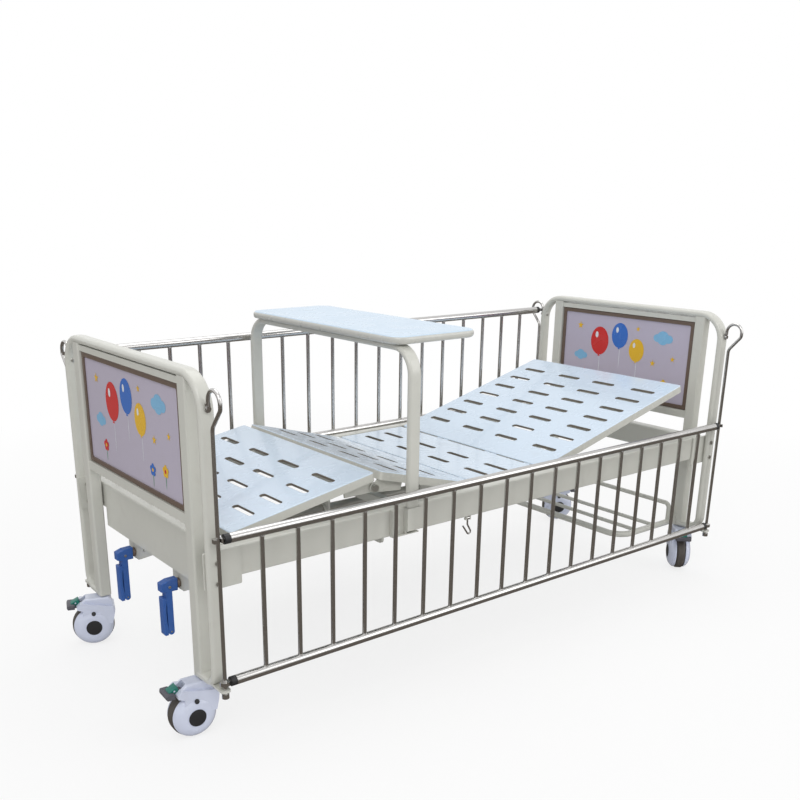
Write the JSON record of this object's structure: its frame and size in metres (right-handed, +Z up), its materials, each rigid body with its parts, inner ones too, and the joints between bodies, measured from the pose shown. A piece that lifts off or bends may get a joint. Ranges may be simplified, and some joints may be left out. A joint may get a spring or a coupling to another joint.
{
  "type": "pediatric hospital cot",
  "caption": "Pediatric hospital cot with slotted two-crank deck, sliding side rails, panelled end boards, over-bed table, rack and braked swivel casters.",
  "frame": {"origin": "on the floor, midway between the end boards and midway between the side rails", "axes": "+X towards the head end, -Y the side with the lowered rail, +Z up"},
  "size_m": [2.2207, 0.978, 0.974],
  "materials": {
    "cream_steel": "satin powder coat",
    "deck_steel": "satin powder coat",
    "bare_steel": "polished stainless tube",
    "plated_steel": "zinc plated",
    "black_plastic": "matte",
    "panel_plastic": "smooth sheet",
    "trim_plastic": "satin",
    "table_plastic": "semi-gloss moulded",
    "crank_plastic": "semi-gloss moulded",
    "caster_plastic": "gloss moulded",
    "tyre_rubber": "matte",
    "pedal_plastic": "matte"
  },
  "bodies": {
    "frame": {"foot_board_frame": "cream_steel", "head_board_frame": "cream_steel", "foot_board_trim": "trim_plastic", "head_board_trim": "trim_plastic", "foot_board_panel": "panel_plastic", "head_board_panel": "panel_plastic", "side_beam_near": "cream_steel", "side_beam_far": "cream_steel", "foot_end_beam": "cream_steel", "head_end_beam": "cream_steel", "cross_tubes": "cream_steel", "seat_section": "deck_steel", "hinge_pins": "plated_steel", "calf_guides": "cream_steel", "guide_rod_foot_near": "bare_steel", "guide_rod_foot_far": "bare_steel", "guide_rod_head_near": "bare_steel", "guide_rod_head_far": "bare_steel", "storage_rack": "cream_steel", "table_bracket_near": "cream_steel", "table_bracket_far": "cream_steel", "beam_bolts": "plated_steel"},
    "back": {"back_section": "deck_steel", "back_lift_arm": "deck_steel"},
    "thigh": {"thigh_section": "deck_steel", "thigh_lift_arm": "deck_steel", "knee_pin": "plated_steel"},
    "calf": {"calf_section": "deck_steel", "calf_axle": "plated_steel"},
    "back_drive": {"back_push_tube": "plated_steel"},
    "knee_drive": {"knee_push_tube": "plated_steel"},
    "back_crank": {"back_crank_screw": "plated_steel", "back_crank_arm": "crank_plastic"},
    "knee_crank": {"knee_crank_screw": "plated_steel", "knee_crank_arm": "crank_plastic"},
    "back_grip": {"back_crank_grip": "crank_plastic"},
    "knee_grip": {"knee_crank_grip": "crank_plastic"},
    "near_rail": {"rail_near": "bare_steel", "rail_plugs_near": "black_plastic"},
    "far_rail": {"rail_far": "bare_steel", "rail_plugs_far": "black_plastic"},
    "table": {"table_frame": "cream_steel", "table_top": "table_plastic"},
    "hook": {"drain_hook": "bare_steel"},
    "caster_foot_near": {"caster_foot_near_shell": "caster_plastic"},
    "wheel_foot_near": {"caster_foot_near_wheel": "caster_plastic", "caster_foot_near_tyre": "tyre_rubber"},
    "pedal_foot_near": {"caster_foot_near_pedal": "pedal_plastic"},
    "caster_foot_far": {"caster_foot_far_shell": "caster_plastic"},
    "wheel_foot_far": {"caster_foot_far_wheel": "caster_plastic", "caster_foot_far_tyre": "tyre_rubber"},
    "pedal_foot_far": {"caster_foot_far_pedal": "pedal_plastic"},
    "caster_head_near": {"caster_head_near_shell": "caster_plastic"},
    "wheel_head_near": {"caster_head_near_wheel": "caster_plastic", "caster_head_near_tyre": "tyre_rubber"},
    "pedal_head_near": {"caster_head_near_pedal": "pedal_plastic"},
    "caster_head_far": {"caster_head_far_shell": "caster_plastic"},
    "wheel_head_far": {"caster_head_far_wheel": "caster_plastic", "caster_head_far_tyre": "tyre_rubber"},
    "pedal_head_far": {"caster_head_far_pedal": "pedal_plastic"}
  },
  "joints": [
    {"name": "back_hinge", "type": "hinge", "parent": "frame", "child": "back", "pos_m": [0.195, 0, 0.511], "axis": [0, -1, 0], "range_deg": [-15, 55]},
    {"name": "thigh_hinge", "type": "hinge", "parent": "frame", "child": "thigh", "pos_m": [-0.09, 0, 0.511], "axis": [0, 1, 0], "range_deg": [-15, 15]},
    {"name": "knee_hinge", "type": "hinge", "parent": "thigh", "child": "calf", "pos_m": [-0.46, 0, 0.56356], "axis": [0, -1, 0], "range_deg": [-25.1, 25.1]},
    {"name": "back_push", "type": "slide", "parent": "frame", "child": "back_drive", "axis": [1, 0, 0], "range_m": [-0.029, 0.105]},
    {"name": "knee_push", "type": "slide", "parent": "frame", "child": "knee_drive", "axis": [-1, 0, 0], "range_m": [-0.0268, 0.0268]},
    {"name": "back_crank_turn", "type": "hinge", "parent": "frame", "child": "back_crank", "pos_m": [-1, 0.143, 0.344], "axis": [1, 0, 0], "range_deg": [-2161, 7921]},
    {"name": "knee_crank_turn", "type": "hinge", "parent": "frame", "child": "knee_crank", "pos_m": [-1, -0.143, 0.344], "axis": [1, 0, 0], "range_deg": [-1801, 1801]},
    {"name": "back_grip_fold", "type": "hinge", "parent": "back_crank", "child": "back_grip", "pos_m": [-1.0015, 0.143, 0.213], "axis": [0, -1, 0], "range_deg": [0, 90]},
    {"name": "knee_grip_fold", "type": "hinge", "parent": "knee_crank", "child": "knee_grip", "pos_m": [-1.0015, -0.143, 0.213], "axis": [0, -1, 0], "range_deg": [0, 90]},
    {"name": "near_rail_lift", "type": "slide", "parent": "frame", "child": "near_rail", "axis": [0, 0, 1], "range_m": [0, 0.325]},
    {"name": "far_rail_lift", "type": "slide", "parent": "frame", "child": "far_rail", "axis": [0, 0, 1], "range_m": [-0.325, 0]},
    {"name": "table_lift", "type": "slide", "parent": "frame", "child": "table", "axis": [0, 0, 1], "range_m": [0, 0.12]},
    {"name": "hook_swing", "type": "hinge", "parent": "frame", "child": "hook", "pos_m": [-0.15, -0.385, 0.427], "axis": [1, 0, 0], "range_deg": [-50, 90]},
    {"name": "swivel_foot_near", "type": "hinge", "parent": "frame", "child": "caster_foot_near", "pos_m": [-1, -0.327, 0.2], "axis": [0, 0, 1], "continuous": true},
    {"name": "roll_foot_near", "type": "hinge", "parent": "caster_foot_near", "child": "wheel_foot_near", "pos_m": [-1.03791, -0.32435, 0.0625], "axis": [-0.0698, -0.9976, 0], "continuous": true},
    {"name": "brake_foot_near", "type": "hinge", "parent": "caster_foot_near", "child": "pedal_foot_near", "pos_m": [-1.06584, -0.3224, 0.129], "axis": [-0.0698, -0.9976, 0], "range_deg": [0, 14]},
    {"name": "swivel_foot_far", "type": "hinge", "parent": "frame", "child": "caster_foot_far", "pos_m": [-1, 0.327, 0.2], "axis": [0, 0, 1], "continuous": true},
    {"name": "roll_foot_far", "type": "hinge", "parent": "caster_foot_far", "child": "wheel_foot_far", "pos_m": [-1.03593, 0.33937, 0.0625], "axis": [-0.3256, -0.9455, 0], "continuous": true},
    {"name": "brake_foot_far", "type": "hinge", "parent": "caster_foot_far", "child": "pedal_foot_far", "pos_m": [-1.0624, 0.34849, 0.129], "axis": [-0.3256, -0.9455, 0], "range_deg": [0, 14]},
    {"name": "swivel_head_near", "type": "hinge", "parent": "frame", "child": "caster_head_near", "pos_m": [1, -0.327, 0.2], "axis": [0, 0, 1], "continuous": true},
    {"name": "roll_head_near", "type": "hinge", "parent": "caster_head_near", "child": "wheel_head_near", "pos_m": [0.97389, -0.35461, 0.0625], "axis": [0.7266, -0.6871, 0], "continuous": true},
    {"name": "brake_head_near", "type": "hinge", "parent": "caster_head_near", "child": "pedal_head_near", "pos_m": [0.95465, -0.37495, 0.129], "axis": [0.7266, -0.6871, 0], "range_deg": [0, 14]},
    {"name": "swivel_head_far", "type": "hinge", "parent": "frame", "child": "caster_head_far", "pos_m": [1, 0.327, 0.2], "axis": [0, 0, 1], "continuous": true},
    {"name": "roll_head_far", "type": "hinge", "parent": "caster_head_far", "child": "wheel_head_far", "pos_m": [1.03223, 0.30686, 0.0625], "axis": [0.5299, 0.848, 0], "continuous": true},
    {"name": "brake_head_far", "type": "hinge", "parent": "caster_head_far", "child": "pedal_head_far", "pos_m": [1.05597, 0.29202, 0.129], "axis": [0.5299, 0.848, 0], "range_deg": [0, 14]}
  ],
  "couplings": [
    {"joint": "knee_hinge", "follows": "thigh_hinge", "ratio": 1.6667},
    {"joint": "back_push", "follows": "back_hinge", "m_per_rad": 0.1089},
    {"joint": "knee_push", "follows": "thigh_hinge", "m_per_rad": 0.10133},
    {"joint": "back_crank_turn", "follows": "back_hinge", "ratio": 144},
    {"joint": "knee_crank_turn", "follows": "thigh_hinge", "ratio": 120}
  ]
}
